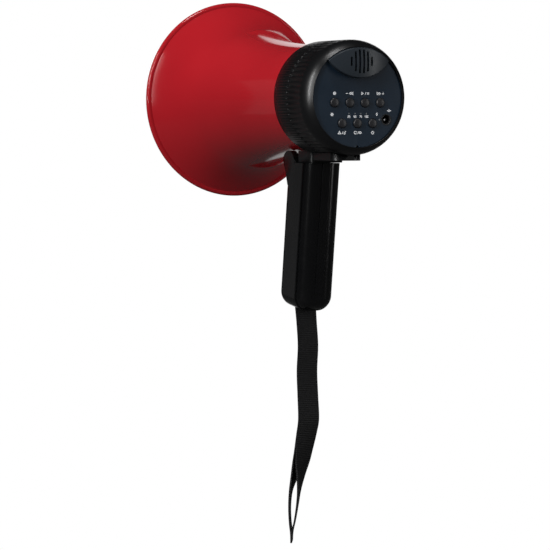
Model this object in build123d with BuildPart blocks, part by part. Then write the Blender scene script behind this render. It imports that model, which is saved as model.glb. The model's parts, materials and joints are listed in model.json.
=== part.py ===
"""Handheld megaphone: red trumpet bell, black amplifier housing, folding grip, wrist strap.

Frame: millimetres, +Y towards the bell's mouth, +Z up, +X to the right as the user holds it.
The origin is the centre of the grip. Distances called "axial" are counted forward from the
plane of the housing's rear rim.
"""

import os
from math import cos, radians, sin

from build123d import *

os.makedirs("parts", exist_ok=True)

# ---------------------------------------------------------------- driving dimensions
REAR_Y = -82.0  # rear rim plane, measured from the grip's centre
AXIS_Z = 108.0  # horn axis above the grip's centre

BELL_RADIUS = 80.0
MOUTH = 225.0  # axial place of the bell's mouth
BELL_WALL = 2.0
NECK_RADIUS = 41.0
THROAT_RADIUS = 54.5  # where the flare tightens

HOUSING_RADIUS = 44.0
HOUSING_LENGTH = 53.0
HOUSING_WALL = 2.7
RIM_LENGTH = 12.0  # axial length of the rounded rear rim
COLLAR = 4.0  # the housing reaches this far over the bell's neck
FLUTE_START, FLUTE_END = 9.0, 34.6
FLUTE_COUNT = 64
FLUTE_DEPTH, FLUTE_WIDTH = 1.3, 3.4

PANEL_RADIUS = 37.7
PANEL_FACE, PANEL_BACK = 1.5, 3.5
BUTTON_RADIUS = 3.5
BUTTON_PITCH = 12.95
UPPER_ROW_Z, LOWER_ROW_Z = -3.9, -19.5

MIC_Z = 26.0
JACK_X, JACK_Z = 24.5, -16.7
BOARD_FACE, BOARD_BACK = 10.2, 11.8

GRIP_WIDTH, GRIP_DEPTH, GRIP_CORNER = 32.0, 44.0, 12.0
GRIP_TOP, GRIP_BOTTOM = 62.6, -57.6
GRIP_CEILING = 57.6  # height at which the grip stops, just under the bracket
GRIP_LEAN = 7.9  # degrees, bottom towards the bell
GRIP_WALL = 2.4
SHELL_SPLIT = -12.0  # the rear cover lies behind this depth
COVER_STEP = 0.8  # the rear cover's sides stand this much inside the front shell's
SPINE_WIDTH = 7.0

PIN_AXIAL, PIN_DROP = 88.0, 51.5  # hinge pin, below the horn axis
PIN_RADIUS = 2.5
KNUCKLE_RADIUS = 8.6
EAR_RADIUS = 10.6
LUG_WIDTH = 21.0
EAR_GAP = 21.8

STRAP_WIDTH = 17.0
STRAP_DROP = 188.0  # length that hangs below the grip

RUNNING = 0.05  # radial clearance of a pin or screw in its hole

HORN_AXIS = Axis((0, 0, AXIS_Z), (0, 1, 0))
HORN_SECTION = Plane(origin=(0, REAR_Y, AXIS_Z), x_dir=(0, 1, 0), z_dir=(1, 0, 0))
LEAN = radians(GRIP_LEAN)
GRIP_UP = (0, -sin(LEAN), cos(LEAN))


def rear_view(axial):
    """A sketch plane across the horn axis, as the user sees it: +X right, +Z up."""
    return Plane(origin=(0, REAR_Y + axial, AXIS_Z), x_dir=(1, 0, 0), z_dir=(0, -1, 0))


def grip_level(height):
    """A sketch plane across the leaning grip, height above its centre."""
    centre = (0, height * GRIP_UP[1], height * GRIP_UP[2])
    return Plane(origin=centre, x_dir=(1, 0, 0), z_dir=GRIP_UP)


def from_pin(forward, up):
    """A point of a YZ sketch, measured from the hinge pin."""
    return (REAR_Y + PIN_AXIAL + forward, AXIS_Z - PIN_DROP + up)


def save(builder, name):
    """Label a finished piece and write it."""
    builder.part.label = name
    export_step(builder.part, f"parts/{name}.step")
    print(name, round(builder.part.volume))


def disc(name, start, end, radius, hole=0.0, places=((0, 0),)):
    """One or more round plates or rings across the horn axis."""
    with BuildPart() as ring:
        with BuildSketch(rear_view(start)):
            with Locations(*places):
                Circle(radius)
                if hole:
                    Circle(hole, mode=Mode.SUBTRACT)
        extrude(amount=start - end)
    save(ring, name)


# ---------------------------------------------------------------- bell and sound path
def flare(start, inset, end):
    """The bell's generating curve: a straight neck and two tangent arcs."""
    neck = Line((start, NECK_RADIUS - inset), (82, NECK_RADIUS + 1 - inset))
    throat = TangentArc(neck @ 1, (180, THROAT_RADIUS - inset), tangent=neck % 1)
    return TangentArc(throat @ 1, end, tangent=throat % 1)


SCREW_CIRCLE, SCREW_RADIUS = 24.0, 1.5
FLANGE = 3.0
NECK_BORE = 14.2

with BuildPart() as horn_bell:
    with BuildSketch(HORN_SECTION):
        with BuildLine():
            outside = flare(HOUSING_LENGTH, 0, (MOUTH - 3.5, BELL_RADIUS - 2.2))
            inside = flare(HOUSING_LENGTH + FLANGE, BELL_WALL, (MOUTH - 0.8, BELL_RADIUS - 3.6))
            Line(outside @ 1, inside @ 1)
            Polyline((HOUSING_LENGTH + FLANGE, NECK_RADIUS - BELL_WALL), (HOUSING_LENGTH + FLANGE, NECK_BORE),
                     (HOUSING_LENGTH, NECK_BORE), (HOUSING_LENGTH, NECK_RADIUS))
        make_face()
        with Locations((MOUTH - 2.6, BELL_RADIUS - 2.4)):
            Circle(2.4)
        with Locations((MOUTH - 1.5, BELL_RADIUS - 2.6)):
            Rectangle(3.0, 2.4)
    revolve(axis=HORN_AXIS)
    with BuildSketch(rear_view(HOUSING_LENGTH)):
        with PolarLocations(SCREW_CIRCLE, 4, start_angle=45):
            Circle(SCREW_RADIUS + RUNNING)
    extrude(amount=-FLANGE, mode=Mode.SUBTRACT)
save(horn_bell, "horn_bell")

TUBE_START, TUBE_END, TUBE_RADIUS = 56.0, 150.0, 22.0
with BuildPart() as tone_tube:
    with BuildSketch(HORN_SECTION):
        with BuildLine():
            Polyline((TUBE_START, NECK_BORE), (60.2, NECK_BORE), (60.2, 11.0), (TUBE_END, TUBE_RADIUS - 1.8),
                     (TUBE_END, TUBE_RADIUS), (118, TUBE_RADIUS), (64, 17), (58.5, 17),
                     (58.5, 29), (TUBE_START, 29), close=True)
        make_face()
    revolve(axis=HORN_AXIS)
    with BuildSketch(rear_view(TUBE_START)):
        with PolarLocations(SCREW_CIRCLE, 4, start_angle=45):
            Circle(SCREW_RADIUS + RUNNING)
    extrude(amount=-2.5, mode=Mode.SUBTRACT)
save(tone_tube, "tone_tube")

CUP_START, CUP_RADIUS, NOSE = 108.0, 32.0, 187.0
with BuildPart() as reflector_cup:
    with BuildSketch(HORN_SECTION):
        with BuildLine():
            skirt = Line((CUP_START, CUP_RADIUS + 1), (150, CUP_RADIUS))
            EllipticalCenterArc((150, 0), NOSE - 150, CUP_RADIUS, start_angle=0, arc_size=90)
            Polyline((NOSE, 0), (NOSE - 2.5, 0))
            EllipticalCenterArc((150, 0), NOSE - 152.5, CUP_RADIUS - 2, start_angle=0, arc_size=90)
            Polyline((150, CUP_RADIUS - 2), (CUP_START, CUP_RADIUS - 1), skirt @ 0)
        make_face()
    revolve(axis=HORN_AXIS)
    with BuildSketch(rear_view(125)):
        Circle(TUBE_RADIUS + 2)
        with PolarLocations((TUBE_RADIUS + CUP_RADIUS) / 2, 3, start_angle=90):
            Rectangle(CUP_RADIUS - TUBE_RADIUS - 0.5, 2.2)
        Circle(TUBE_RADIUS + RUNNING, mode=Mode.SUBTRACT)
    extrude(amount=-22)
save(reflector_cup, "reflector_cup")

# ---------------------------------------------------------------- amplifier housing
with BuildPart() as flute_tool:
    for depth_along, share in ((FLUTE_START, 0.12), (FLUTE_END, 1.0)):
        with BuildSketch(Plane.XY.offset(-depth_along)):
            with BuildLine():
                half = share * FLUTE_WIDTH / 2
                Polyline((-half, HOUSING_RADIUS + 0.3), (half, HOUSING_RADIUS + 0.3),
                         (0.3 * half, HOUSING_RADIUS - share * FLUTE_DEPTH), close=True)
            make_face()
    loft()

FRONT_WALL = 3.0
BRACKET_SCREWS = ((0, REAR_Y + 26), (0, REAR_Y + 44))
HOUSING_FRONT = HOUSING_LENGTH + COLLAR
LEDGE_RADIUS = 35.5
with BuildPart(rear_view(0)) as amplifier_housing:
    with BuildSketch(HORN_SECTION):
        with BuildLine():
            rim = TangentArc((RIM_LENGTH, HOUSING_RADIUS), (0, PANEL_RADIUS + 0.5), tangent=(-1, 0))
            Polyline(rim @ 1, (0, PANEL_RADIUS + 0.1), (PANEL_BACK, PANEL_RADIUS + 0.1),
                     (PANEL_BACK, LEDGE_RADIUS), (6, LEDGE_RADIUS), (6, HOUSING_RADIUS - HOUSING_WALL),
                     (HOUSING_LENGTH - FRONT_WALL, HOUSING_RADIUS - HOUSING_WALL),
                     (HOUSING_LENGTH - FRONT_WALL, NECK_BORE), (HOUSING_LENGTH, NECK_BORE),
                     (HOUSING_LENGTH, NECK_RADIUS + 0.3), (HOUSING_FRONT, NECK_RADIUS + 0.3),
                     (HOUSING_FRONT, HOUSING_RADIUS - 1.5), (HOUSING_FRONT - 1.5, HOUSING_RADIUS),
                     rim @ 0)
        make_face()
    revolve(axis=HORN_AXIS)
    with BuildSketch(rear_view(HOUSING_LENGTH)):
        with PolarLocations(SCREW_CIRCLE, 4, start_angle=45):
            Circle(SCREW_RADIUS + RUNNING)
    extrude(amount=FRONT_WALL, mode=Mode.SUBTRACT)
    with PolarLocations(0, FLUTE_COUNT):
        add(flute_tool.part, mode=Mode.SUBTRACT)
    # holes of the two bracket screws, through the floor of the barrel
    with BuildSketch(Plane.XY.offset(AXIS_Z - HOUSING_RADIUS - 1)):
        with Locations(*BRACKET_SCREWS):
            Circle(SCREW_RADIUS + RUNNING)
    extrude(amount=8, mode=Mode.SUBTRACT)
save(amplifier_housing, "amplifier_housing")

# ---------------------------------------------------------------- control panel
upper_row = [((place - 1.5) * BUTTON_PITCH, UPPER_ROW_Z) for place in range(4)]
lower_row = [((place - 1) * BUTTON_PITCH, LOWER_ROW_Z) for place in range(3)]
button_places = upper_row + lower_row
boss_places = [(-15.5, -26.8), (15.5, -26.8), (-26.8, 15.5), (26.8, 15.5)]
GUIDE_Z, GUIDE_RADIUS = -12.2, 0.6
guide_places = [(-7.1, GUIDE_Z), (-2.1, GUIDE_Z), (2.8, GUIDE_Z), (7.7, GUIDE_Z)]
LIGHT_X, LIGHT_RADIUS = 18.9, 0.7
MIC_HOLE, JACK_RADIUS, JACK_BORE = 6.4, 4.2, 3.3

with BuildPart() as control_panel:
    with BuildSketch(rear_view(PANEL_FACE)):
        Circle(PANEL_RADIUS)
        with Locations(*button_places):
            Circle(BUTTON_RADIUS + 0.3, mode=Mode.SUBTRACT)
        with Locations((0, MIC_Z)):
            Circle(MIC_HOLE, mode=Mode.SUBTRACT)
        with Locations((JACK_X, JACK_Z)):
            Circle(JACK_RADIUS + RUNNING, mode=Mode.SUBTRACT)
        with Locations(*guide_places):
            Circle(GUIDE_RADIUS + RUNNING, mode=Mode.SUBTRACT)
        with Locations((LIGHT_X, JACK_Z)):
            Circle(LIGHT_RADIUS + RUNNING, mode=Mode.SUBTRACT)
        with Locations((0, -PANEL_RADIUS)):
            Rectangle(1.6, 3.0, mode=Mode.SUBTRACT)
    extrude(amount=PANEL_FACE - PANEL_BACK)
    with BuildSketch(rear_view(PANEL_BACK)):
        with Locations(*boss_places):
            Circle(2.5)
            Circle(1.2 + RUNNING, mode=Mode.SUBTRACT)
    extrude(amount=PANEL_BACK - BOARD_FACE)
save(control_panel, "control_panel")

SWITCH_SIDE, SWITCH_HEIGHT = 6.0, 3.3
for number, place in enumerate(button_places, start=1):
    cap_centre = rear_view(PANEL_BACK).from_local_coords(Vector(*place, 0))
    cap_plane = Plane(origin=cap_centre, x_dir=(1, 0, 0), z_dir=(0, -1, 0))
    with BuildPart() as button:
        with BuildSketch(cap_plane.offset(0.2)):
            Circle(BUTTON_RADIUS)
        extrude(amount=3.6)
        fillet(button.edges().sort_by(Axis.Y)[0], 1.3)
        with BuildSketch(cap_plane.offset(-1.0)):
            Circle(BUTTON_RADIUS + 0.9)
        extrude(amount=0.9)
        with BuildSketch(cap_plane.offset(-2.5)):
            Circle(1.2)
        extrude(amount=1.6)
        with BuildSketch(cap_plane.offset(-0.2)):
            Circle(BUTTON_RADIUS)
        extrude(amount=0.5)
    save(button, f"button_{number}")

    with BuildPart() as tact_switch:
        with BuildSketch(cap_plane.offset(PANEL_BACK - BOARD_FACE)):
            Rectangle(SWITCH_SIDE, SWITCH_SIDE)
        extrude(amount=SWITCH_HEIGHT)
        chamfer(tact_switch.edges().filter_by(Axis.Y), 0.6)
    save(tact_switch, f"tact_switch_{number}")

# ---------------------------------------------------------------- microphone
LENS_DROP = 14.8  # lowest point of the lens above the horn axis
LENS_RADIUS = 31.85
DOME_RADIUS, DOME_TOP = 65.0, 6.5


def mic_lens(inset):
    """The cover's outline: where the panel's circle and a larger arc from above overlap."""
    Circle(PANEL_RADIUS - 0.1 - inset)
    with Locations((0, LENS_DROP + LENS_RADIUS)):
        Circle(LENS_RADIUS - inset, mode=Mode.INTERSECT)


def mic_dome(inset):
    """A block of the lens outline under a shallow dome."""
    with BuildPart() as block:
        with BuildSketch(rear_view(PANEL_FACE)):
            mic_lens(inset)
        extrude(amount=DOME_TOP + 3)
        with Locations((0, REAR_Y - DOME_TOP + DOME_RADIUS, AXIS_Z + MIC_Z)):
            Sphere(DOME_RADIUS - inset, mode=Mode.INTERSECT)
    return block.part


SLOT_WIDTH, SLOT_PITCH, GRILLE_RADIUS = 1.7, 3.4, 9.2
mic_outer = mic_dome(0)
mic_inner = mic_dome(1.8)
with BuildPart() as mic_cover:
    add(mic_outer)
    fillet(mic_cover.edges().filter_by(lambda edge: edge.center().Y < REAR_Y + PANEL_FACE - 1), 0.7)
    add(mic_inner, mode=Mode.SUBTRACT)
    with BuildSketch(rear_view(PANEL_FACE)):
        for place in range(6):
            slot_x = (place - 2.5) * SLOT_PITCH
            slot_length = 2 * (GRILLE_RADIUS**2 - slot_x**2) ** 0.5
            with Locations((slot_x, MIC_Z + 1)):
                SlotOverall(slot_length, SLOT_WIDTH, rotation=90)
    extrude(amount=DOME_TOP + 3, mode=Mode.SUBTRACT)
save(mic_cover, "mic_cover")

disc("mic_capsule", -2.8, 3.6, 4.85, places=((0, MIC_Z),))
disc("mic_boot", -2.4, 3.6, MIC_HOLE - 0.1, hole=4.85, places=((0, MIC_Z),))

# ---------------------------------------------------------------- socket and lights
with BuildPart() as dc_jack:
    with BuildSketch(rear_view(1.2)):
        with Locations((JACK_X, JACK_Z)):
            Circle(JACK_RADIUS)
    extrude(amount=-13.3)
    with BuildSketch(rear_view(1.2)):
        with Locations((JACK_X, JACK_Z)):
            Circle(JACK_BORE)
    extrude(amount=-10.3, mode=Mode.SUBTRACT)
save(dc_jack, "dc_jack")
disc("dc_jack_pin", 3.5, 11.5, 1.0, places=((JACK_X, JACK_Z),))
disc("charge_light", 1.3, 4.2, LIGHT_RADIUS, places=((LIGHT_X, JACK_Z),))
disc("battery_lights", 1.4, 4.2, GUIDE_RADIUS, places=guide_places)

# ---------------------------------------------------------------- boards
with BuildPart() as control_board:
    with BuildSketch(rear_view(BOARD_FACE)):
        Circle(34.8)
        with Locations((JACK_X, JACK_Z)):
            Circle(JACK_RADIUS + 0.2, mode=Mode.SUBTRACT)
        with Locations(*boss_places):
            Circle(1.2 + RUNNING, mode=Mode.SUBTRACT)
    extrude(amount=BOARD_FACE - BOARD_BACK)
save(control_board, "control_board")

with BuildPart() as board_screws:
    with BuildSketch(rear_view(5.6)):
        with Locations(*boss_places):
            Circle(1.2)
    extrude(amount=5.6 - BOARD_BACK)
    with BuildSketch(rear_view(BOARD_BACK)):
        with Locations(*boss_places):
            Circle(2.2)
    extrude(amount=-1.4)
save(board_screws, "board_screws")

spacer_places = [(x, z) for x in (-20, 20) for z in (-11, 11)]
AMP_FACE, AMP_BACK = 17.0, 18.6
disc("board_spacers", BOARD_BACK, AMP_FACE, 2.0, places=spacer_places)
with BuildPart() as amplifier_board:
    with BuildSketch(rear_view(AMP_FACE)):
        RectangleRounded(50, 32, 2)
    extrude(amount=AMP_FACE - AMP_BACK)
save(amplifier_board, "amplifier_board")
with BuildPart() as amplifier_chip:
    with BuildSketch(rear_view(AMP_BACK)):
        Rectangle(14, 12)
    extrude(amount=-2.4)
save(amplifier_chip, "amplifier_chip")
disc("capacitors", AMP_BACK, AMP_BACK + 5.4, 4.0, places=((-16, 8), (-16, -8), (16, 8)))

# ---------------------------------------------------------------- compression driver
YOKE_START, MAGNET_START, PLATE_START, CAP_START = 25.0, 29.0, 38.0, 41.5
with BuildPart() as driver_yoke:
    with BuildSketch(rear_view(YOKE_START)):
        Circle(24)
    extrude(amount=YOKE_START - MAGNET_START)
    with BuildSketch(rear_view(MAGNET_START)):
        Circle(8)
    extrude(amount=MAGNET_START - CAP_START)
save(driver_yoke, "driver_yoke")
disc("driver_magnet", MAGNET_START, PLATE_START, 25.5, hole=12)
disc("driver_top_plate", PLATE_START, CAP_START, 27, hole=9.9)
disc("voice_coil", 35.5, 43.0, 9.4, hole=8.5)

with BuildPart() as diaphragm:
    with BuildSketch(HORN_SECTION):
        with BuildLine():
            Polyline((43, 9.4), (44.4, 5.2), (45.0, 0), (45.4, 0), (44.8, 5.4), (43.3, 9.8),
                     (43.3, 24.6), (43, 24.6), close=True)
        make_face()
    revolve(axis=HORN_AXIS)
save(diaphragm, "diaphragm")

CAP_END = HOUSING_LENGTH - FRONT_WALL
with BuildPart() as driver_cap:
    with BuildSketch(HORN_SECTION):
        with BuildLine():
            Polyline((CAP_START, 27), (CAP_END, 27), (CAP_END, 14), (60, 14), (60, 10.5), (48, 8.5),
                     (46.2, 8.5), (46.2, 24), (43.3, 24), (43.3, 24.6), (43.0, 24.6),
                     (43.0, 24), (CAP_START, 24), close=True)
        make_face()
    revolve(axis=HORN_AXIS)
    with BuildSketch(rear_view(CAP_END)):
        with PolarLocations(SCREW_CIRCLE, 4, start_angle=45):
            Circle(SCREW_RADIUS + RUNNING)
    extrude(amount=2.2, mode=Mode.SUBTRACT)
save(driver_cap, "driver_cap")

with BuildPart() as horn_screws:
    with BuildSketch(rear_view(48)):
        with PolarLocations(SCREW_CIRCLE, 4, start_angle=45):
            Circle(SCREW_RADIUS)
    extrude(amount=48 - 58.5)
    with BuildSketch(rear_view(58.5)):
        with PolarLocations(SCREW_CIRCLE, 4, start_angle=45):
            Circle(2.8)
    extrude(amount=-2)
save(horn_screws, "horn_screws")

# ---------------------------------------------------------------- folding bracket
BRACKET_FLOOR = 50.0  # underside of the saddle below the horn axis
TONGUE_FLOOR = 48.0
TONGUE_AXIAL, SADDLE_AXIAL, ROOT_AXIAL = 44.0, 64.3, 79.0  # middles of the three blocks
with BuildPart() as handle_bracket:
    with BuildSketch(Plane.XY.offset(AXIS_Z - TONGUE_FLOOR)):
        with Locations((0, REAR_Y + TONGUE_AXIAL)):
            RectangleRounded(25, 60, 9)
    extrude(amount=8)
    with BuildSketch(Plane.XY.offset(AXIS_Z - BRACKET_FLOOR)):
        with Locations((0, REAR_Y + SADDLE_AXIAL)):
            RectangleRounded(28, 25.2, 3)
    extrude(amount=9)
    with BuildSketch(Plane.YZ.offset(-LUG_WIDTH / 2)):
        with Locations(from_pin(0, 0)):
            Circle(KNUCKLE_RADIUS - 0.2)
        with Locations((REAR_Y + ROOT_AXIAL, AXIS_Z - BRACKET_FLOOR + 3.4)):
            Rectangle(18, 6.8)
    extrude(amount=LUG_WIDTH)
    with BuildSketch(rear_view(0)):
        Circle(HOUSING_RADIUS + RUNNING)
    extrude(amount=-HOUSING_FRONT, mode=Mode.SUBTRACT)
    with BuildSketch(rear_view(HOUSING_FRONT)):
        Circle(NECK_RADIUS + 2)
    extrude(amount=-60, mode=Mode.SUBTRACT)
    with BuildSketch(Plane.YZ.offset(-LUG_WIDTH / 2)):
        with Locations(from_pin(0, 0)):
            Circle(PIN_RADIUS + RUNNING)
    extrude(amount=LUG_WIDTH, mode=Mode.SUBTRACT)
    with BuildSketch(Plane.XY.offset(AXIS_Z - TONGUE_FLOOR)):
        with Locations(*BRACKET_SCREWS):
            Circle(SCREW_RADIUS + RUNNING)
    extrude(amount=8, mode=Mode.SUBTRACT)
save(handle_bracket, "handle_bracket")

with BuildPart() as bracket_screws:
    with BuildSketch(Plane.XY.offset(AXIS_Z - TONGUE_FLOOR + 0.5)):
        with Locations(*BRACKET_SCREWS):
            Circle(SCREW_RADIUS)
    extrude(amount=7)
    with BuildSketch(Plane.XY.offset(AXIS_Z - HOUSING_RADIUS + HOUSING_WALL + 0.15)):
        with Locations(*BRACKET_SCREWS):
            Circle(2.8)
    extrude(amount=1.8)
save(bracket_screws, "bracket_screws")

with BuildPart() as hinge_pin:
    with BuildSketch(Plane.YZ.offset(-GRIP_WIDTH / 2 + 1.2)):
        with Locations(from_pin(0, 0)):
            Circle(PIN_RADIUS)
    extrude(amount=GRIP_WIDTH - 1.4)
save(hinge_pin, "hinge_pin")

# ---------------------------------------------------------------- grip
def grip_block(inset, top, bottom, round_end):
    """A leaning block of rounded section with a rounded lower end."""
    with BuildPart() as block:
        with BuildSketch(grip_level(bottom)):
            RectangleRounded(GRIP_WIDTH - 2 * inset, GRIP_DEPTH - 2 * inset, GRIP_CORNER - inset)
        extrude(amount=top - bottom)
        fillet(block.faces().sort_by(Axis.Z)[0].edges(), round_end)
        split(bisect_by=Plane.XY.offset(GRIP_CEILING), keep=Keep.BOTTOM)
    return block.part


def pin_disc(radius, start, end):
    """A disc about the hinge pin from one X to another."""
    with BuildPart() as knuckle:
        with BuildSketch(Plane.YZ.offset(start)):
            with Locations(from_pin(0, 0)):
                Circle(radius)
        extrude(amount=end - start)
    return knuckle.part


def grip_box(x_size, low, high, floor, top):
    """A box in the grip's leaning frame, low to high in depth and floor to top in height."""
    with BuildPart() as box:
        with BuildSketch(grip_level(floor)):
            with Locations((0, (low + high) / 2)):
                Rectangle(x_size, high - low)
        extrude(amount=top - floor)
    return box.part


def across_grip(level, depth):
    """A sketch plane that faces forward through the grip, at a height and a depth."""
    centre = grip_level(level).from_local_coords(Vector(0, depth, 0))
    return Plane(origin=centre, x_dir=(1, 0, 0), z_dir=(0, cos(LEAN), sin(LEAN)))


KNUCKLE_FLOOR = 45.6  # level of the shell's top in front, lower to clear the knuckle
grip_skin = grip_block(0, GRIP_TOP, GRIP_BOTTOM, 11.4)
grip_core = grip_block(GRIP_WALL, KNUCKLE_FLOOR - GRIP_WALL, GRIP_BOTTOM + GRIP_WALL, 9.0)
cover_skin = grip_block(COVER_STEP, GRIP_TOP, GRIP_BOTTOM + COVER_STEP, 10.6)
ear_starts = (-GRIP_WIDTH / 2, EAR_GAP / 2)
EAR_THICKNESS = (GRIP_WIDTH - EAR_GAP) / 2
SCREW_LEVELS = (36.0, -42.0)
BOSS_RADIUS, SCREW_HEAD = 3.6, 2.9
STRAP_PIN_LEVEL, STRAP_PIN_RADIUS = -50.0, 1.5
SLOT_WIDTH_X, SLOT_DEPTH = STRAP_WIDTH + 1.6, 5.6

with BuildPart() as handle_front_shell:
    add(grip_skin)
    # the top makes room for the bracket's knuckle, between and in front of the ears
    add(grip_box(60, 3.0, 30, KNUCKLE_FLOOR, GRIP_TOP + 9), mode=Mode.SUBTRACT)
    add(grip_core, mode=Mode.SUBTRACT)
    for ear_start in ear_starts:
        with BuildSketch(Plane.YZ.offset(ear_start)):
            with BuildLine():
                crown = CenterArc(from_pin(0, 0), EAR_RADIUS, 20, 160)
                Polyline(crown @ 1, from_pin(-12, -26), from_pin(2, -16), from_pin(5.5, -6), crown @ 0)
            make_face()
        extrude(amount=EAR_THICKNESS)
    add(pin_disc(KNUCKLE_RADIUS + 0.5, -EAR_GAP / 2, EAR_GAP / 2), mode=Mode.SUBTRACT)
    add(pin_disc(PIN_RADIUS, -GRIP_WIDTH / 2 + 1.2, GRIP_WIDTH / 2), mode=Mode.SUBTRACT)
    for level in SCREW_LEVELS:
        with BuildSketch(across_grip(level, SHELL_SPLIT + 4)):
            Circle(BOSS_RADIUS)
        extrude(amount=GRIP_DEPTH / 2 - SHELL_SPLIT - 5)
        with BuildSketch(across_grip(level, SHELL_SPLIT)):
            Circle(SCREW_RADIUS + RUNNING)
        extrude(amount=GRIP_DEPTH)
        with BuildSketch(across_grip(level, SHELL_SPLIT)):
            Circle(SCREW_RADIUS + RUNNING)
        extrude(amount=GRIP_DEPTH, mode=Mode.SUBTRACT)
        with BuildSketch(across_grip(level, GRIP_DEPTH / 2 - 3)):
            Circle(SCREW_HEAD + 0.2)
        extrude(amount=6, mode=Mode.SUBTRACT)
    add(grip_box(SLOT_WIDTH_X, -SLOT_DEPTH / 2, SLOT_DEPTH / 2, GRIP_BOTTOM - 2, GRIP_BOTTOM + 6),
        mode=Mode.SUBTRACT)
    split(bisect_by=across_grip(0, SHELL_SPLIT), keep=Keep.TOP)
save(handle_front_shell, "handle_front_shell")

with BuildPart() as handle_rear_cover:
    add(cover_skin)
    with BuildSketch(grip_level(-42)):
        with Locations((0, -GRIP_DEPTH / 2 + 3)):
            Rectangle(SPINE_WIDTH, 6)
    extrude(amount=GRIP_TOP + 42)
    split(bisect_by=Plane.XY.offset(GRIP_CEILING), keep=Keep.BOTTOM)
    fillet(handle_rear_cover.edges().filter_by(Axis(origin=(0, 0, 0), direction=GRIP_UP))
           .sort_by(Axis(origin=(0, 0, 0), direction=(0, 1, 0)))[:2], 0.6)
    add(grip_core, mode=Mode.SUBTRACT)
    for level in SCREW_LEVELS:
        with BuildSketch(across_grip(level, -GRIP_DEPTH / 2 + COVER_STEP + 1)):
            Circle(BOSS_RADIUS)
        extrude(amount=GRIP_DEPTH / 2 + SHELL_SPLIT + 4 - COVER_STEP - 1.1)
    split(bisect_by=across_grip(0, SHELL_SPLIT), keep=Keep.BOTTOM)
    for level in SCREW_LEVELS:
        with BuildSketch(across_grip(level, SHELL_SPLIT - 5)):
            Circle(SCREW_RADIUS + RUNNING)
        extrude(amount=12, mode=Mode.SUBTRACT)
save(handle_rear_cover, "handle_rear_cover")

with BuildPart() as handle_screws:
    for level in SCREW_LEVELS:
        with BuildSketch(across_grip(level, SHELL_SPLIT - 4.5)):
            Circle(SCREW_RADIUS)
        extrude(amount=GRIP_DEPTH / 2 - 3 - SHELL_SPLIT + 4.5)
        with BuildSketch(across_grip(level, GRIP_DEPTH / 2 - 3)):
            Circle(SCREW_HEAD)
            RegularPolygon(1.3, 6, mode=Mode.SUBTRACT)
        extrude(amount=1.8)
save(handle_screws, "handle_screws")

CELL_RADIUS, CELL_FLOOR, CELL_TOP = 9.2, -36.0, 29.0
with BuildPart() as battery_cell:
    with BuildSketch(grip_level(CELL_FLOOR)):
        Circle(CELL_RADIUS)
    extrude(amount=CELL_TOP - CELL_FLOOR)
    chamfer(battery_cell.edges(), 0.5)
save(battery_cell, "battery_cell")
with BuildPart() as battery_contacts:
    for level in (CELL_FLOOR - 0.6, CELL_TOP):
        with BuildSketch(grip_level(level)):
            RectangleRounded(14, 14, 2)
        extrude(amount=0.6)
save(battery_contacts, "battery_contacts")
with BuildPart() as strap_anchor_pin:
    with BuildSketch(Plane(origin=grip_level(STRAP_PIN_LEVEL).from_local_coords(Vector(-11.6, 0, 0)),
                           x_dir=(0, 1, 0), z_dir=(1, 0, 0))):
        Circle(STRAP_PIN_RADIUS)
    extrude(amount=23.2)
save(strap_anchor_pin, "strap_anchor_pin")

# ---------------------------------------------------------------- wrist strap
# The doubled webbing hangs plumb from the slot; it turns edge-on and drifts forward lower down.
STRAP_Y = GRIP_BOTTOM * GRIP_UP[1]
STRAP_TOP = GRIP_BOTTOM * GRIP_UP[2]
strap_levels = (  # drop below the grip, shift in X and Y, width, thickness, turn in degrees
    (0.8, 0.0, 0.0, STRAP_WIDTH, 4.4, 0),
    (30, 1.2, -2.0, STRAP_WIDTH + 1, 6.0, -5),
    (88, 1.4, -2.5, STRAP_WIDTH + 1, 7.5, -10),
    (112, -0.8, 2.0, STRAP_WIDTH + 1, 9.5, 14),
    (145, -4.3, 9.0, STRAP_WIDTH + 1, 12.0, 56),
    (STRAP_DROP, -6.2, 12.0, STRAP_WIDTH, 6.0, 60),
)
with BuildPart() as wrist_strap:
    for drop, across, forward, width, thickness, turn in strap_levels:
        with BuildSketch(Plane(origin=(across, STRAP_Y + forward, STRAP_TOP - drop)).rotated((0, 0, turn))):
            Rectangle(width, thickness)
    loft(ruled=True)
    with BuildSketch(Plane(origin=(0, STRAP_Y, STRAP_TOP - 0.8))):
        Rectangle(STRAP_WIDTH, 4.4)
    extrude(amount=4.6)
save(wrist_strap, "wrist_strap")
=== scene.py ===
# %% [markdown]
# # A handheld megaphone, finished in Blender
# The design comes from CAD as a fixed frame: every part already has its place and size.
# This file gives the parts their looks. All lengths are metres, +Y points out of the bell,
# +Z is up and +X is the user's right.

# %% Load the frame
import json
import math

import bmesh
import bpy
from mathutils import Matrix, Vector

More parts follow.
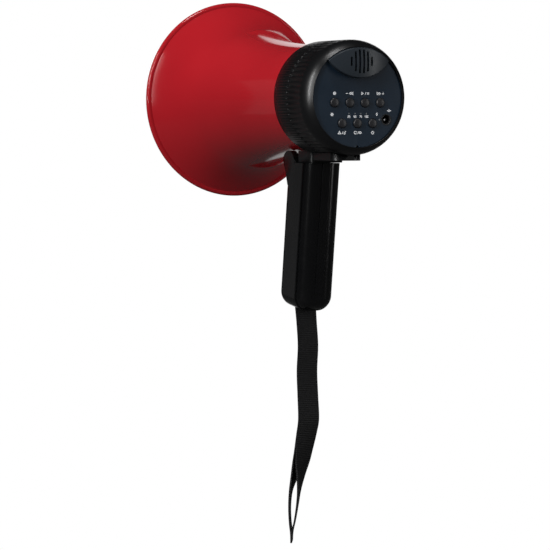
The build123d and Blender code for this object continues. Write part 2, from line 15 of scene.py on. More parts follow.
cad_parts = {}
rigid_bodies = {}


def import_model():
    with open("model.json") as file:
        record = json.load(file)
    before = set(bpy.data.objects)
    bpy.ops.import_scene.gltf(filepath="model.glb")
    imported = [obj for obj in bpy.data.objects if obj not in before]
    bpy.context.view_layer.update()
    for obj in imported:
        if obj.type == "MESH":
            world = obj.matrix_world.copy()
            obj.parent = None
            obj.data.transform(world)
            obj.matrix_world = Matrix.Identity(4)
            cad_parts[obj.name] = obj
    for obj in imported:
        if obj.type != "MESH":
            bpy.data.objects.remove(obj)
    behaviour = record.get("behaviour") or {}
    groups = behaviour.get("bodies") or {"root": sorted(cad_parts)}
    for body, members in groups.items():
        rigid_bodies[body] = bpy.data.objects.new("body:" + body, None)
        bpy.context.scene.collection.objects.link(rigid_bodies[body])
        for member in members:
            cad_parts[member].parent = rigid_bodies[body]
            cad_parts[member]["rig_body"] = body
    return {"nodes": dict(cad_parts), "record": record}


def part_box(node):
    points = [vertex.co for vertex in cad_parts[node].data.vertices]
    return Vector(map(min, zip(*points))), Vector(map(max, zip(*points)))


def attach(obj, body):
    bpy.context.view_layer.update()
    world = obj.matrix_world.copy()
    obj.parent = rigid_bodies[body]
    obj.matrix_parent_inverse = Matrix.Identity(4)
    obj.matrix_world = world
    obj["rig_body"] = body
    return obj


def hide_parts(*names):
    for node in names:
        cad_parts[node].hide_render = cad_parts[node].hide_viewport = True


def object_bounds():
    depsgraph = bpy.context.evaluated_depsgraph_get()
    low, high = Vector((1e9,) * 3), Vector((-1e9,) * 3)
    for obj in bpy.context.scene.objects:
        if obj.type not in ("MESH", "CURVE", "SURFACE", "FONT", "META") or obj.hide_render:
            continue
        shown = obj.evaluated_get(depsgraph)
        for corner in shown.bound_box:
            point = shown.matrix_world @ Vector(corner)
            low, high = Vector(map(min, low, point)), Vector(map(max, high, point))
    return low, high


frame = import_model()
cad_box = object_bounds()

scene = bpy.context.scene

# %% [markdown]
# ## Where things are
# A few numbers read from the frame place everything else: the rear rim of the housing, the
# horn's axis and the face of the panel. A millimetre constant keeps the sizes readable, and a
# small helper puts new objects into the scene.

# %% Places read from the frame
MM = 0.001
housing_low, housing_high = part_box("amplifier_housing")
REAR = housing_low.y
AXIS_Z = (housing_low.z + housing_high.z) / 2
HOUSING_RADIUS = (housing_high.z - housing_low.z) / 2
panel_low, panel_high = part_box("control_panel")
PANEL_FACE = panel_low.y
PANEL_RADIUS = (panel_high.x - panel_low.x) / 2


def added(name, data):
    """A new object in the scene, holding a mesh, a light or a camera."""
    made = bpy.data.objects.new(name, data)
    scene.collection.objects.link(made)
    return made


print("rear", round(REAR, 4), "axis", round(AXIS_Z, 4), "panel face", round(PANEL_FACE, 4))

# %% [markdown]
# ## Camera, light and floor
# The camera comes first, so that every later step can be judged through it. It stands behind
# and to the left of the user, two metres off with a long lens, which keeps the barrel's
# ellipse and the bell's disc in proportion. It looks at the middle of the whole object.

# %% Camera
VIEW_AZIMUTH = math.radians(-27.4)
VIEW_RISE = math.radians(-0.5)
VIEW_DISTANCE = 2.0
LENS, SENSOR = 172.8, 36
AIM_LEFT, AIM_DOWN = 63.0 * MM, 134.5 * MM  # from the panel to the middle of the object
panel_centre = Vector((0, REAR, AXIS_Z))
view_right = Vector((math.cos(VIEW_AZIMUTH), math.sin(VIEW_AZIMUTH), 0))
towards_camera = Vector((math.sin(VIEW_AZIMUTH), -math.cos(VIEW_AZIMUTH), math.tan(VIEW_RISE)))
look_at = panel_centre - AIM_LEFT * view_right - Vector((0, 0, AIM_DOWN))

camera = added("camera", bpy.data.cameras.new("camera"))
camera.location = panel_centre + VIEW_DISTANCE * towards_camera
camera.rotation_euler = (look_at - camera.location).to_track_quat("-Z", "Y").to_euler()
camera.data.lens = LENS
camera.data.sensor_width = SENSOR
scene.camera = camera
scene.view_settings.view_transform = "Standard"
print("camera at", [round(c, 3) for c in camera.location])

# %% [markdown]
# ### Surroundings
# A plain white sky would light the black plastic to grey. The world is therefore white to the
# eye, light grey to matt surfaces and nearly black to glossy ones, so the black plastic stays
# black and only the soft boxes show in it.

# %% World
SEEN, MATT_SEES, GLOSS_SEES = 1.0, 0.66, 0.012
world = bpy.data.worlds.new("studio")
scene.world = world
world.use_nodes = True
sky = world.node_tree.nodes
sky.clear()
join = world.node_tree.links.new


def backdrop(brightness):
    """One plain background of a given grey."""
    made = sky.new("ShaderNodeBackground")
    made.inputs["Color"].default_value = (brightness, brightness, brightness, 1)
    return made.outputs[0]


def choose(factor, low, high):
    """Mix two backgrounds by a light path output."""
    made = sky.new("ShaderNodeMixShader")
    join(factor, made.inputs[0])
    join(low, made.inputs[1])
    join(high, made.inputs[2])
    return made.outputs[0]


ray = sky.new("ShaderNodeLightPath")
unseen = choose(ray.outputs["Is Glossy Ray"], backdrop(MATT_SEES), backdrop(GLOSS_SEES))
everything = choose(ray.outputs["Is Camera Ray"], unseen, backdrop(SEEN))
join(everything, sky.new("ShaderNodeOutputWorld").inputs[0])
print("world of", len(sky), "shader nodes")

# %% [markdown]
# ### Soft boxes
# Glossy plastic is drawn by what it mirrors, so the lights are soft boxes set round the horn:
# one above, a tall narrow one on either side, and three beyond the bell's mouth that fill its
# rim, throat and flank. Each one aims at the middle of the horn.


# %% Soft boxes
MIDDLE = Vector((0, 0.03, 0.05))


def soft_box(name, place, width, height, power):
    """A rectangular light that faces the middle of the horn: metres and watts."""
    light = bpy.data.lights.new(name, "AREA")
    light.shape = "RECTANGLE"
    light.size, light.size_y = width, height
    light.energy = power
    lamp = added(name, light)
    lamp.location = place
    lamp.rotation_euler = (MIDDLE - Vector(place)).to_track_quat("-Z", "Y").to_euler()


soft_box("top_box", (-0.2, -0.5, 1.7), 0.5, 0.3, 8)
soft_box("left_box", (-1.62, -0.56, 0.66), 0.1, 1.4, 24)
soft_box("right_box", (1.3, -1.3, 0.2), 0.16, 1.2, 4)
soft_box("front_box", (1.1, 1.75, 0.55), 0.8, 0.9, 2)
soft_box("low_box", (0.7, 1.7, -0.7), 1.3, 1.1, 2)
soft_box("flank_box", (-0.9, 1.75, 0.15), 0.4, 1.2, 0.12)
print("soft boxes", len(bpy.data.lights))

# %% [markdown]
# ### Floor
# The floor lies well below the strap. Like the surroundings it is white to the eye and dark
# to reflections, so its horizon never shows.

# %% Floor
FLOOR_DROP, FLOOR_HALF, FLOOR_GREY = 0.35, 30, 0.06
floor = added("floor", bpy.data.meshes.new("floor"))
build = bmesh.new()
bmesh.ops.create_grid(build, x_segments=1, y_segments=1, size=FLOOR_HALF)
bmesh.ops.translate(build, verts=build.verts, vec=(0, 0, cad_box[0][2] - FLOOR_DROP))
build.to_mesh(floor.data)
build.free()
sweep = bpy.data.materials.new("sweep_white")
sweep.use_nodes = True
nodes, tie = sweep.node_tree.nodes, sweep.node_tree.links.new
nodes.clear()
white = nodes.new("ShaderNodeEmission")
matt = nodes.new("ShaderNodeBsdfDiffuse")
matt.inputs["Color"].default_value = (FLOOR_GREY, FLOOR_GREY, FLOOR_GREY, 1)
eye = nodes.new("ShaderNodeLightPath")
either = nodes.new("ShaderNodeMixShader")
tie(eye.outputs["Is Camera Ray"], either.inputs[0])
tie(matt.outputs[0], either.inputs[1])
tie(white.outputs[0], either.inputs[2])
tie(either.outputs[0], nodes.new("ShaderNodeOutputMaterial").inputs[0])
floor.data.materials.append(sweep)
print("floor at", round(cad_box[0][2] - FLOOR_DROP, 3))

# %% [markdown]
# ## A small language for materials
# Node trees get long when every sum needs three lines. Wire stands for a socket and turns
# ordinary arithmetic into Math nodes; Finish holds one material and makes any other node.

# %% Wires and finishes
class Wire:
    """A node output that can be used in arithmetic."""

    def __init__(self, tree, socket):
        self.tree, self.socket = tree, socket

    def maths(self, operation, other=None):
        """A Math node on this wire and, for a sum or product, a second wire or number."""
        node = self.tree.nodes.new("ShaderNodeMath")
        node.operation = operation
        self.tree.links.new(self.socket, node.inputs[0])
        if isinstance(other, Wire):
            self.tree.links.new(other.socket, node.inputs[1])
        elif other is not None:
            node.inputs[1].default_value = other
        return Wire(self.tree, node.outputs[0])

    def __add__(self, other):
        return self.maths("ADD", other)

    def __mul__(self, other):
        return self.maths("MULTIPLY", other)

    def sine(self):
        return self.maths("SINE")


class Finish:
    """One procedural material: its shader and a way to add nodes to it."""

    def __init__(self, name, colour, roughness, **constants):
        self.material = bpy.data.materials.new(name)
        self.material.use_nodes = True
        self.tree = self.material.node_tree
        self.shader = self.tree.nodes["Principled BSDF"]
        self.shader.inputs["Base Color"].default_value = (*colour, 1)
        self.shader.inputs["Roughness"].default_value = roughness
        for socket, value in constants.items():
            self.shader.inputs[socket.replace("_", " ")].default_value = value

    def node(self, kind, settings=None, output=0, **values):
        """Add a node: its settings first, then the values or wires of its sockets."""
        made = self.tree.nodes.new(kind)
        for key, value in (settings or {}).items():
            setattr(made, key, value)
        for socket, value in values.items():
            target = made.inputs[socket.replace("_", " ")]
            if isinstance(value, Wire):
                self.tree.links.new(value.socket, target)
            else:
                target.default_value = value
        return Wire(self.tree, made.outputs[output])

    def feed(self, socket, wire):
        """Let a wire drive one socket of the shader."""
        self.tree.links.new(wire.socket, self.shader.inputs[socket])

    def noise(self, scale, detail=3.0, rough=0.5):
        """Noise laid out in the object's own coordinates."""
        place = self.node("ShaderNodeTexCoord", output="Object")
        return self.node("ShaderNodeTexNoise", Vector=place, Scale=scale, Detail=detail,
                         Roughness=rough)

    def blend(self, factor, low, high):
        """A colour between two colours."""
        made = self.tree.nodes.new("ShaderNodeMix")
        made.data_type = "RGBA"
        self.tree.links.new(factor.socket, made.inputs["Factor"])
        made.inputs[6].default_value = (*low, 1)
        made.inputs[7].default_value = (*high, 1)
        return Wire(self.tree, made.outputs[2])

    def bump(self, height, depth, strength):
        """Relief: height times depth in metres, as a bent normal."""
        self.feed("Normal", self.node("ShaderNodeBump", Height=height, Distance=depth,
                                      Strength=strength))


print("finish helpers ready")

# %% [markdown]
# ## Finishes
# The bell is glossy moulded plastic: a strong red, a little uneven in depth where the wall
# changes thickness, under a hard smooth skin. Fine dust and handling show only in roughness.
# Bump depths are in metres here and in every finish below.


# %% Red bell
def make_bell_red():
    red = Finish("bell_red", (0.42, 0.012, 0.02), 0.12, IOR=1.5)
    clouds = red.noise(14, 2)
    red.feed("Base Color", red.blend(clouds, (0.31, 0.008, 0.013), (0.40, 0.012, 0.018)))
    smudge = red.noise(60, 4, 0.6)
    red.feed("Roughness", smudge * 0.07 + 0.07)
    red.bump(red.noise(260, 2), 0.00003, 0.35)
    return red.material


bell_red = make_bell_red()
print("made", bell_red.name)

# %% [markdown]
# ### Black plastics
# The black parts differ: the barrel is a satin black with the slightest spark-eroded grain,
# the grip is high gloss with finger marks, and the inner parts are dull. One function makes
# them all, since they differ only in tone, gloss range and grain.


# %% Black plastics
def make_black(name, colour, low_rough, high_rough, grain, relief):
    """A dark plastic, mottled between its colour and one a third lighter."""
    black = Finish(name, colour, low_rough, IOR=1.48)
    tone = black.noise(30, 3)
    lighter = tuple(1.35 * c for c in colour)
    black.feed("Base Color", black.blend(tone, colour, lighter))
    wear = black.noise(70, 5, 0.65)
    black.feed("Roughness", wear * (high_rough - low_rough) + low_rough)
    black.bump(black.noise(grain, 2), relief, 0.5)
    return black.material


barrel_black = make_black("barrel_black", (0.0035, 0.0037, 0.0042), 0.24, 0.4, 1500, 0.00002)
grip_black = make_black("grip_black", (0.0022, 0.0023, 0.0026), 0.1, 0.24, 300, 0.00001)
inner_black = make_black("inner_black", (0.012, 0.012, 0.013), 0.45, 0.6, 1200, 0.00003)
cover_slate = make_black("cover_slate", (0.015, 0.020, 0.026), 0.3, 0.42, 1400, 0.00002)
button_grey = make_black("button_grey", (0.016, 0.016, 0.018), 0.32, 0.45, 1500, 0.00002)
print("black finishes ready")

# %% [markdown]
# ### Panel overlay and its ink
# The control panel is a navy overlay: satin, with a fine paper-like texture. Its screen
# printing is a matt off-white ink.


# %% Panel and prints
def make_panel_navy():
    """The satin film over the control panel."""
    navy = Finish("panel_navy", (0.007, 0.014, 0.025), 0.3, IOR=1.45)
    mottle = navy.noise(90, 4, 0.6)
    navy.feed("Base Color", navy.blend(mottle, (0.006, 0.0150, 0.028), (0.009, 0.0205, 0.037)))
    navy.feed("Roughness", navy.noise(50, 3) * 0.16 + 0.26)
    navy.bump(navy.noise(2600, 1), 0.00001, 0.4)
    return navy.material


def make_print_white():
    """Screen-printing ink, a little thicker here and there."""
    ink = Finish("print_white", (0.75, 0.77, 0.8), 0.5)
    ink.feed("Base Color", ink.blend(ink.noise(1800, 2), (0.80, 0.82, 0.85), (0.95, 0.96, 0.98)))
    return ink.material


panel_navy = make_panel_navy()
print_white = make_print_white()
print("made", panel_navy.name, "and", print_white.name)

# %% [markdown]
# ### Metals and inner parts
# Screws, pins and the driver's plates are brushed steel and the coil is copper. Magnet, boards,
# chips, sleeves and the diaphragm's film are dull, so a second function with two close tones
# makes all of those.


# %% Metals and small parts
def make_metal(name, colour, low_rough, high_rough, scratch):
    """A metal whose gloss and relief follow fine scratches."""
    metal = Finish(name, colour, low_rough, Metallic=1.0)
    brushed = metal.noise(scratch, 5, 0.7)
    metal.feed("Roughness", brushed * (high_rough - low_rough) + low_rough)
    darker = tuple(0.8 * c for c in colour)
    metal.feed("Base Color", metal.blend(metal.noise(40, 2), darker, colour))
    metal.bump(brushed, 0.000008, 0.4)
    return metal.material


def make_dull(name, low, high, roughness, scale, relief=0.00002):
    """A dull finish that wanders between two close tones."""
    dull = Finish(name, low, roughness)
    dull.feed("Base Color", dull.blend(dull.noise(scale, 4), low, high))
    dull.feed("Roughness", dull.noise(scale * 2, 3) * 0.15 + roughness)
    dull.bump(dull.noise(scale * 6, 2), relief, 0.5)
    return dull.material


steel = make_metal("steel", (0.56, 0.56, 0.57), 0.22, 0.4, 400)
copper = make_metal("copper", (0.62, 0.27, 0.12), 0.25, 0.4, 900)
ferrite = make_dull("ferrite", (0.02, 0.02, 0.022), (0.05, 0.05, 0.052), 0.6, 200, 0.00004)
board_green = make_dull("board_green", (0.01, 0.08, 0.035), (0.02, 0.14, 0.06), 0.3, 160)
chip_black = make_dull("chip_black", (0.012, 0.012, 0.013), (0.02, 0.02, 0.022), 0.5, 300)
can_sleeve = make_dull("can_sleeve", (0.03, 0.03, 0.05), (0.06, 0.06, 0.09), 0.3, 120)
cell_sleeve = make_dull("cell_sleeve", (0.03, 0.12, 0.34), (0.05, 0.18, 0.42), 0.3, 80)
film = make_dull("film", (0.45, 0.3, 0.12), (0.6, 0.42, 0.2), 0.35, 100)


def make_lamp():
    """A smoked light guide, seen with its lamp off."""
    lamp = Finish("lamp_smoke", (0.12, 0.13, 0.14), 0.12)
    lamp.feed("Base Color", lamp.blend(lamp.noise(900, 2), (0.09, 0.10, 0.11), (0.16, 0.17, 0.18)))
    lamp.feed("Roughness", lamp.noise(600, 2) * 0.1 + 0.08)
    return lamp.material


lamp_clear = make_lamp()
print("finishes so far", len(bpy.data.materials))

# %% [markdown]
# ### Webbing
# The strap is nylon webbing: cross ribs every millimetre and a half, each crossed by fine
# lengthwise threads. Its ribs follow the strap's own UV map, laid out in metres.


# %% Webbing
RIB_PITCH, THREAD_PITCH = 0.0015, 0.0011


def make_webbing():
    """Woven nylon: ribs across the strap and threads along it."""
    cloth = Finish("webbing", (0.004, 0.004, 0.005), 0.7)
    place = cloth.node("ShaderNodeUVMap", {"uv_map": "weave"})
    across = cloth.node("ShaderNodeSeparateXYZ", Vector=place)
    along = cloth.node("ShaderNodeSeparateXYZ", output=1, Vector=place)
    ribs = (along * (math.tau / RIB_PITCH)).sine() * 0.5 + 0.5
    threads = (across * (math.tau / THREAD_PITCH)).sine() * 0.5 + 0.5
    weave = ribs * 0.75 + threads * 0.25
    # The colour follows the weave's relief: darker in the grooves between ribs and threads, a
    # painted shade; the bump below shapes the same relief.
    cloth.feed("Base Color", cloth.blend(weave, (0.0012, 0.0012, 0.0015), (0.006, 0.006, 0.007)))
    cloth.feed("Roughness", weave * 0.2 + 0.55)
    cloth.bump(weave, 0.00035, 0.8)
    return cloth.material


webbing = make_webbing()
print("made", webbing.name)

# %% [markdown]
# ### One finish for every node
# Every CAD node gets its finish by its material slot in the record. A slot says which family
# a node belongs to, so one table covers the whole assembly.

# %% Give every CAD node its finish
finish_of_slot = {
    "bell_red": bell_red, "housing_black": barrel_black, "panel_navy": panel_navy,
    "cover_slate": cover_slate, "button_grey": button_grey, "grip_black": grip_black,
    "inner_black": inner_black, "steel": steel, "ferrite": ferrite, "board_green": board_green,
    "chip": chip_black, "capacitor": can_sleeve, "film": film, "copper": copper,
    "cell_sleeve": cell_sleeve, "lamp": lamp_clear, "webbing": webbing, "mic_rubber": inner_black,
}
slot_of_node = {part["node"]: part["material_slot"] for part in frame["record"]["subparts"]}
for name, node in frame["nodes"].items():
    node.data.materials.clear()
    node.data.materials.append(finish_of_slot[slot_of_node[name]])
print("finished", len(frame["nodes"]), "nodes")

# %% [markdown]
# ## From CAD solids to pieces
# CAD hands over triangles that only touch. A piece for the eye needs one welded skin, smooth
# across a fillet and crisp along a parting edge, so two helpers do that for every piece.

# %% Helpers for pieces
WELD = 2e-6  # points nearer than this are one point
CRISP = 35  # degrees; flatter edges are shaded smooth


def piece(name, build, finish, body, replaces=(), crisp=CRISP):
    """Turn a bmesh, drawn in the shared frame, into a finished piece that rides a body."""
    bmesh.ops.remove_doubles(build, verts=build.verts, dist=WELD)
    bmesh.ops.recalc_face_normals(build, faces=build.faces)
    mesh = bpy.data.meshes.new(name)
    build.to_mesh(mesh)
    build.free()
    mesh.shade_smooth()
    mesh.set_sharp_from_angle(angle=math.radians(crisp))
    mesh.materials.append(finish)
    made = added(name, mesh)
    if replaces:
        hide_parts(*replaces)
    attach(made, body)
    return made


def refined(node):
    """A welded, smoothly shaded stand-in for one CAD node."""
    source = frame["nodes"][node]
    build = bmesh.new()
    build.from_mesh(source.data)
    made = piece(f"{node}_skin", build, source.data.materials[0], source["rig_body"],
                 [node])
    even = made.modifiers.new("even_normals", "WEIGHTED_NORMAL")
    even.keep_sharp = True
    return made


def spun(profile, steps, centre=(0, 0), closed=True):
    """Turn a profile of (axial, radius) pairs in millimetres about an axis along Y."""
    build = bmesh.new()
    across, up = centre
    pivot = Vector((across * MM, REAR, AXIS_Z + up * MM))
    points = [build.verts.new(pivot + Vector((0, axial, radius)) * MM)
              for axial, radius in profile]
    pairs = list(zip(points, points[1:]))
    if closed:
        pairs.append((points[-1], points[0]))
    edges = [build.edges.new(pair) for pair in pairs]
    bmesh.ops.spin(build, geom=points + edges, cent=pivot, axis=(0, 1, 0), angle=math.tau,
                   steps=steps, use_merge=True)
    return build


def arc_between(start, heading, end, count):
    """Points of the arc from start, along a unit heading, to end; and the heading there."""
    chord = Vector(end) - Vector(start)
    normal = Vector((-heading[1], heading[0]))
    reach = chord.dot(normal)
    radius = chord.length_squared / (2 * reach)
    centre = Vector(start) + radius * normal
    swing = 2 * math.atan2(reach, chord.dot(heading))
    spoke = Vector(start) - centre
    points = [centre + Matrix.Rotation(swing * n / count, 2) @ spoke for n in range(count + 1)]
    return points, Matrix.Rotation(swing, 2) @ Vector(heading)


print("helpers for pieces ready")

# %% [markdown]
# ## The bell
# A moulded horn is a body of revolution: a straight neck, a long shallow arc and a tighter
# flare, closed by a rolled rim that keeps the thin wall from cracking. Its half section is
# drawn once, outside and inside, and spun about the horn axis.

# %% Spin the bell
bell_low, bell_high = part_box("horn_bell")
NECK, MOUTH = (bell_low.y - REAR) / MM, (bell_high.y - REAR) / MM
BELL_RADIUS = (bell_high.x - bell_low.x) / 2 / MM
NECK_START, NECK_END, THROAT_END = 41, (82, 42), (180, 54.5)  # a radius, then axial and radius
WALL, FLANGE, BEAD, TUBE_BORE = 2, 3, 2.4, 14.2
BELL_STEPS = 192


def bell_curve(start, inset, end):
    """Neck, throat arc and flare of one face of the bell's wall."""
    neck = [Vector((start, NECK_START - inset)), Vector((NECK_END[0], NECK_END[1] - inset))]
    along = (neck[1] - neck[0]).normalized()
    throat_end = (THROAT_END[0], THROAT_END[1] - inset)
    throat, along = arc_between(neck[1], along, throat_end, 16)
    flare, along = arc_between(throat[-1], along, end, 18)
    return [tuple(point) for point in neck + throat[1:] + flare[1:]]


outside = bell_curve(NECK, 0, (MOUTH - 4.6, BELL_RADIUS - 3.6))
inside = bell_curve(NECK + FLANGE, WALL, (MOUTH - 2.0, BELL_RADIUS - 4.9))
bead = [(MOUTH - BEAD - BEAD * math.cos(turn), BELL_RADIUS - BEAD + BEAD * math.sin(turn))
        for turn in (math.radians(-10 + 17.5 * n) for n in range(13))]
flange = [(NECK + FLANGE, TUBE_BORE), (NECK, TUBE_BORE)]
bell = piece("bell", spun(outside + bead + inside[::-1] + flange, BELL_STEPS), bell_red,
             "head", ["horn_bell"])
print("bell", len(bell.data.polygons), "faces, from", round(NECK, 1), "to", round(MOUTH, 1), "mm")

# %% [markdown]
# ## The barrel
# The housing is spun in the same way, from the rounded rear rim over the grip band to the
# collar around the bell's neck. The band's flutes are then pressed in: every vertex of the
# band moves towards the axis by a depth that grows from nothing near the rim.

# %% Spin the barrel and press its flutes
FLUTES, STEPS_PER_FLUTE = 64, 12
FLUTE_START, FLUTE_END, FLUTE_DEPTH = 8.8, 34.6, 1.1
FLUTE_RUN_IN = 16  # the length over which a flute reaches its full depth
RIM_END, BORE, LEDGE_BORE = 12, 41.3, 35.5
COLLAR_END = (housing_high.y - REAR) / MM
BARREL = HOUSING_RADIUS / MM
PANEL = PANEL_RADIUS / MM
rim, _ = arc_between((RIM_END, BARREL), (-1, 0), (0.5, PANEL + 0.9), 8)
mouth_edge = [(0.1, PANEL + 0.5), (0.35, PANEL + 0.15)]
recess = [(3.5, PANEL + 0.1), (3.5, LEDGE_BORE), (6, LEDGE_BORE), (6, BORE)]
bulkhead = [(50, BORE), (50, TUBE_BORE), (53, TUBE_BORE), (53, BORE)]
collar = [(COLLAR_END, BORE), (COLLAR_END, BARREL - 1.2), (COLLAR_END - 0.35, BARREL - 0.35),
          (COLLAR_END - 1.2, BARREL)]
band = [(FLUTE_END + 0.25, BARREL)]
band += [(FLUTE_END - 0.25 - n * (FLUTE_END - 12.2) / 10, BARREL) for n in range(11)]
barrel_profile = [tuple(p) for p in rim] + mouth_edge + recess + bulkhead + collar + band
barrel_build = spun(barrel_profile, FLUTES * STEPS_PER_FLUTE)
for vert in barrel_build.verts:
    axial = (vert.co.y - REAR) / MM
    across, up = vert.co.x, vert.co.z - AXIS_Z
    radius = math.hypot(across, up) / MM
    if radius < BORE + 0.2 or not FLUTE_START < axial < FLUTE_END:
        continue
    turn = math.atan2(up, across) / math.tau * FLUTES
    off_centre = 1 - abs(turn - math.floor(turn) - 0.5) * 2
    groove = max(0.0, 1 - off_centre / 0.8)
    share = min(1.0, (axial - FLUTE_START) / FLUTE_RUN_IN)
    shrink = 1 - FLUTE_DEPTH * share * groove / radius
    vert.co.x, vert.co.z = across * shrink, AXIS_Z + up * shrink
barrel = piece("barrel", barrel_build, barrel_black, "head",
               ["amplifier_housing"], 50)
print("barrel", len(barrel.data.polygons), "faces")

# %% [markdown]
# ## Buttons
# Each button is a small rubber-coated cap with a rolled edge and a slight crown, on a stem
# with a collar that stops it behind the panel. One profile serves all seven.

# %% Seven buttons
CAP_STEPS = 48
crown = [(0, 0.0), (0.0, 0.7), (0.08, 1.5), (0.24, 2.2)]
shoulder = [(0.24 + 1.2 * (1 - math.cos(turn)), 2.25 + 1.25 * math.sin(turn))
            for turn in (math.radians(15 * n) for n in range(1, 7))]
stem = [(3.55, 3.5), (3.6, 4.3), (4.45, 4.4), (4.5, 1.2), (6.0, 1.2), (6.0, 0)]
for number in range(1, 8):
    low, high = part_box(f"button_{number}")
    middle = (low + high) / 2
    top = (low.y - REAR) / MM
    profile = [(top + axial, radius) for axial, radius in crown + shoulder + stem]
    centre = (middle.x / MM, (middle.z - AXIS_Z) / MM)
    piece(f"cap_{number}", spun(profile, CAP_STEPS, centre, closed=False), button_grey,
          f"button_{number}", [f"button_{number}"])
print("seven buttons, top at axial", round(top, 2))

# %% [markdown]
# ## Panel, cover, bracket and grip
# These are moulded shells whose CAD skin is already right; they are welded and smoothed.

# %% Smooth skins
for node in ("control_panel", "mic_cover", "handle_bracket", "handle_front_shell",
             "handle_rear_cover", "dc_jack", "dc_jack_pin", "charge_light", "battery_lights",
             "hinge_pin", "handle_screws", "mic_capsule", "mic_boot", "tone_tube",
             "reflector_cup", "strap_anchor_pin"):
    skin = refined(node)
    print(skin.name, len(skin.data.polygons))

# %% [markdown]
# ## Wrist strap
# One length of woven webbing passes round the anchor pin inside the grip, and its two ends are
# sewn together at the bottom. Held up by the grip it hangs plumb, and because it was packed
# folded it turns edge-on lower down and opens a little. The webbing is drawn as a grid: along
# its length it goes down one side of the loop and up the other, and across its width it is
# flat. The grid is then thickened.

# %% Drape the webbing
STRAP_WIDTH, WEB = 0.0168, 0.0013
STRAP_TOP, STRAP_Y = -57.05 * MM, 7.92 * MM  # where the loop leaves the grip
pin_low, pin_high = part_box("strap_anchor_pin")
strap_pin = (pin_low + pin_high) / 2
# drop, shift across, shift forward, half opening, turn: millimetres and degrees
hang = [
    (0, 0.0, 0.0, 1.7, 0), (12, 0.6, -0.8, 1.0, -2), (30, 1.2, -2.0, 0.8, -5),
    (50, 0.6, -1.4, 1.0, -4), (70, 1.0, -2.2, 0.8, -8), (88, 1.5, -2.6, 1.0, -11),
    (100, 0.6, -0.6, 1.3, 0), (112, -0.6, 1.8, 1.7, 14), (122, -1.9, 3.6, 2.2, 24),
    (133, -3.4, 6.0, 3.1, 42), (146, -4.9, 8.6, 3.9, 56), (158, -5.5, 10.2, 3.7, 60),
    (170, -5.9, 11.2, 2.6, 61), (180, -6.2, 11.8, 1.0, 61), (187.3, -6.3, 12.0, 0.68, 61),
]


def strap_row(drop, across, forward, half, turn):
    """The centre line and the two directions of one level of the loop."""
    facing = math.radians(turn)
    wide = Vector((math.cos(facing), math.sin(facing), 0))
    deep = Vector((-math.sin(facing), math.cos(facing), 0))
    middle = Vector((across * MM, STRAP_Y + forward * MM, STRAP_TOP - drop * MM))
    return middle, wide, deep * half * MM


def eased(levels, parts):
    """Levels with smooth in-between ones, by Catmull-Rom interpolation."""
    fine = []
    end = len(levels) - 1
    for n in range(end):
        a, b, c, d = (levels[min(max(k, 0), end)] for k in (n - 1, n, n + 1, n + 2))
        for step in range(parts):
            t = step / parts
            bend = 2 * a - 5 * b + 4 * c - d + t * (3 * (b - c) + d - a)
            fine.append(tuple(b + 0.5 * t * (c - a + t * bend)))
    return fine + [levels[end]]


rows = []
down = eased([Vector(level) for level in hang], 5)
for side, levels in ((-1, down), (1, down[::-1])):
    for level in levels:
        middle, wide, deep = strap_row(*level)
        rows.append((middle + side * deep, wide))
pin_radius = (pin_high.z - pin_low.z) / 2 + 0.8 * MM
for turn in (math.radians(75 - 30 * n) for n in range(6)):
    over = Vector((0, pin_radius * math.sin(turn), pin_radius * math.cos(turn)))
    rows.append((strap_pin + over, Vector((1, 0, 0))))

ACROSS = 6
web = bmesh.new()
uv = web.loops.layers.uv.new("weave")
grid, reach, last = [], [0.0], rows[0][0]
for centre, wide in rows:
    reach.append(reach[-1] + (centre - last).length)
    last = centre
    grid.append([web.verts.new(centre + wide * STRAP_WIDTH * (k / ACROSS - 0.5))
                 for k in range(ACROSS + 1)])
reach = reach[1:] + [reach[-1] + (rows[0][0] - last).length]
for n in range(len(grid)):
    upper, lower = grid[n], grid[(n + 1) % len(grid)]
    for k in range(ACROSS):
        face = web.faces.new((upper[k], upper[k + 1], lower[k + 1], lower[k]))
        corners = ((k, n), (k + 1, n), (k + 1, n + 1), (k, n + 1))
        for loop, (column, row) in zip(face.loops, corners):
            loop[uv].uv = (column / ACROSS * STRAP_WIDTH, reach[row])
bmesh.ops.recalc_face_normals(web, faces=web.faces)
bmesh.ops.solidify(web, geom=web.faces[:], thickness=WEB)
strap = piece("strap", web, webbing, "grip", ["wrist_strap"], 40)

# %% [markdown]
# ## Signs on the panel
# The overlay is screen printed. Each sign is a few thin strokes; a stroke is a mitred ribbon, a
# twentieth of a millimetre thick, lying on the panel. Its underside sinks a hundredth into it.

# %% Strokes
PRINT_LIFT, PRINT_SINK, PRINT_WIDTH, DIGIT_WIDTH = 0.05, 0.01, 0.52, 0.32


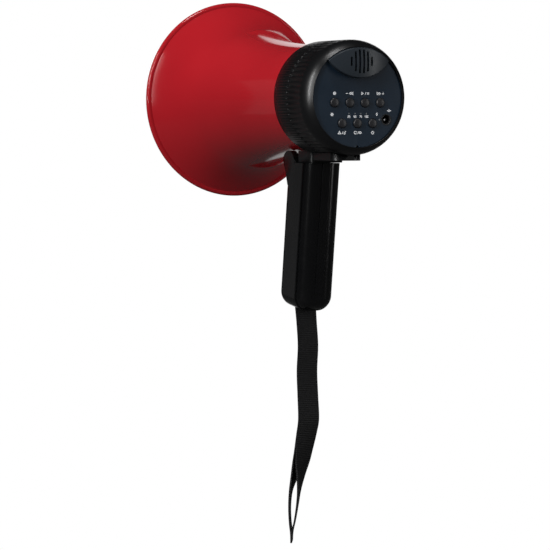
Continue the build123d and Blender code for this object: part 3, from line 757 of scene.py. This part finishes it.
def stroke(build, points, width):
    """Lay a ribbon of ink along points, (x, z) in millimetres from the horn axis."""
    path = [Vector(point) for point in points]
    looped = (path[0] - path[-1]).length < 1e-6
    if looped:
        path.pop()
    edges = []
    for n, point in enumerate(path):
        before = path[n - 1] if n or looped else None
        after = path[(n + 1) % len(path)] if n + 1 < len(path) or looped else None
        ways = [(b - a).normalized() for a, b in ((before, point), (point, after)) if a and b]
        along = sum(ways, Vector((0, 0))).normalized()
        side = Vector((-along.y, along.x)) * width / 2 / max(0.5, along.dot(ways[0]))
        edges.append((point + side, point - side))
    top, bottom = ([[build.verts.new((p.x * MM, PANEL_FACE - lift * MM, AXIS_Z + p.y * MM))
                     for p in pair] for pair in edges] for lift in (PRINT_LIFT, -PRINT_SINK))
    count = len(path)
    for n in range(count if looped else count - 1):
        m = (n + 1) % count
        build.faces.new((top[n][0], top[n][1], top[m][1], top[m][0]))
        build.faces.new((bottom[n][0], bottom[m][0], bottom[m][1], bottom[n][1]))
        build.faces.new((top[n][0], top[m][0], bottom[m][0], bottom[n][0]))
        build.faces.new((top[n][1], bottom[n][1], bottom[m][1], top[m][1]))
    if not looped:
        for n in (0, count - 1):
            build.faces.new((top[n][0], bottom[n][0], bottom[n][1], top[n][1]))


def moved(points, x, z, size=1.0):
    """The same points, scaled and then shifted."""
    return [(x + size * px, z + size * pz) for px, pz in points]


def ring(radius, start=0, end=360, steps=16):
    """A circle, or an arc between two angles in degrees."""
    turns = [math.radians(start + (end - start) * n / steps) for n in range(steps + 1)]
    return [(radius * math.cos(turn), radius * math.sin(turn)) for turn in turns]


print("strokes ready")

# %% [markdown]
# ### The signs and the numbers
# A plain sign stands for what each button does, and four numbers label the charge lights. They
# are drawn in millimetres about their own middle and then set in place: four over the upper
# row of buttons, three under the lower row, and one each by the lamp, the socket and its light.

# %% Signs and numbers
SIGN_SIZE, DIGIT_SIZE, DIGIT_STEP, DIGIT_FOOT = 1.1, 0.74, 1.15, -15.2
LEFT_TIP = [(0.6, 0.8), (-0.6, 0), (0.6, -0.8), (0.6, 0.8)]
RIGHT_TIP = [(-0.6, 0.8), (0.6, 0), (-0.6, -0.8), (-0.6, 0.8)]
BAR = [(0, -0.8), (0, 0.8)]
SLASH = [(0.0, -0.9), (0.8, 0.9)]
SIGNS = {
    "mode": [ring(0.9), ring(0.25, steps=6)],
    "quieter": [[(-3, 0), (-1.4, 0)], moved(LEFT_TIP, 0.3, 0), moved(LEFT_TIP, 1.8, 0)],
    "play": [moved(RIGHT_TIP, -2, 0), SLASH, moved(BAR, 1.9, 0), moved(BAR, 2.8, 0)],
    "louder": [moved(RIGHT_TIP, -1.8, 0), moved(RIGHT_TIP, -0.3, 0), [(1.4, 0), (3, 0)],
               moved(BAR, 2.2, 0)],
    "alarm": [[(-3, -0.8), (-2, 0.9), (-1, -0.8), (-3, -0.8)], SLASH,
              moved(ring(0.5), 1.9, -0.5), [(2.4, -0.5), (2.4, 0.9), (3.1, 0.7)]],
    "repeat": [moved(ring(0.9, 40, 340), -1.6, 0), [(-1.3, 0.9), (-0.7, 0.5), (-0.5, 1.1)],
               moved(SLASH, 0.2, 0), moved(ring(0.7), 2.2, 0)],
    "power": [ring(0.9, 120, 420), [(0, 0.2), (0, 1.2)]],
    "lamp": [ring(0.55, steps=10)] + [[(0.8 * c, 0.8 * s), (1.25 * c, 1.25 * s)]
                                      for c, s in ring(1, 0, 300, 5)],
    "plug": [[(-1.6, 0), (-0.6, 0)], ring(0.6), [(0.6, 0), (1.6, 0)]],
    "charge": [[(0.3, 1.1), (-0.5, 0), (0.5, 0), (-0.3, -1.1)]],
}
DIGITS = {
    "0": [[(0, 0), (0, 2), (1, 2), (1, 0), (0, 0)]],
    "1": [[(0.5, 0), (0.5, 2), (0.1, 1.6)]],
    "2": [[(0, 2), (1, 2), (1, 1), (0, 1), (0, 0), (1, 0)]],
    "5": [[(1, 2), (0, 2), (0, 1), (1, 1), (1, 0), (0, 0)]],
    "7": [[(0, 2), (1, 2), (0.4, 0)]],
}
places = {
    "mode": (-19.4, 3.0), "quieter": (-6.5, 3.0), "play": (6.5, 3.0), "louder": (19.4, 3.0),
    "alarm": (-13.0, -26.6), "repeat": (0.0, -26.6), "power": (13.0, -26.6),
    "lamp": (-21.5, -12.9), "plug": (27.0, -10.0), "charge": (16.6, -12.6),
}
ink = bmesh.new()
for sign, (x, z) in places.items():
    for line in SIGNS[sign]:
        stroke(ink, moved(line, x, z, SIGN_SIZE), PRINT_WIDTH)
for number, x in zip(("25", "50", "75", "100"), (-7.1, -2.1, 2.8, 7.7)):
    for n, digit in enumerate(number):
        for line in DIGITS[digit]:
            left = x + (n - len(number) / 2) * DIGIT_STEP + 0.15
            stroke(ink, moved(line, left, DIGIT_FOOT, DIGIT_SIZE), DIGIT_WIDTH)
signs = piece("panel_signs", ink, print_white, "head", crisp=20)
print("signs", len(signs.data.polygons), "faces")
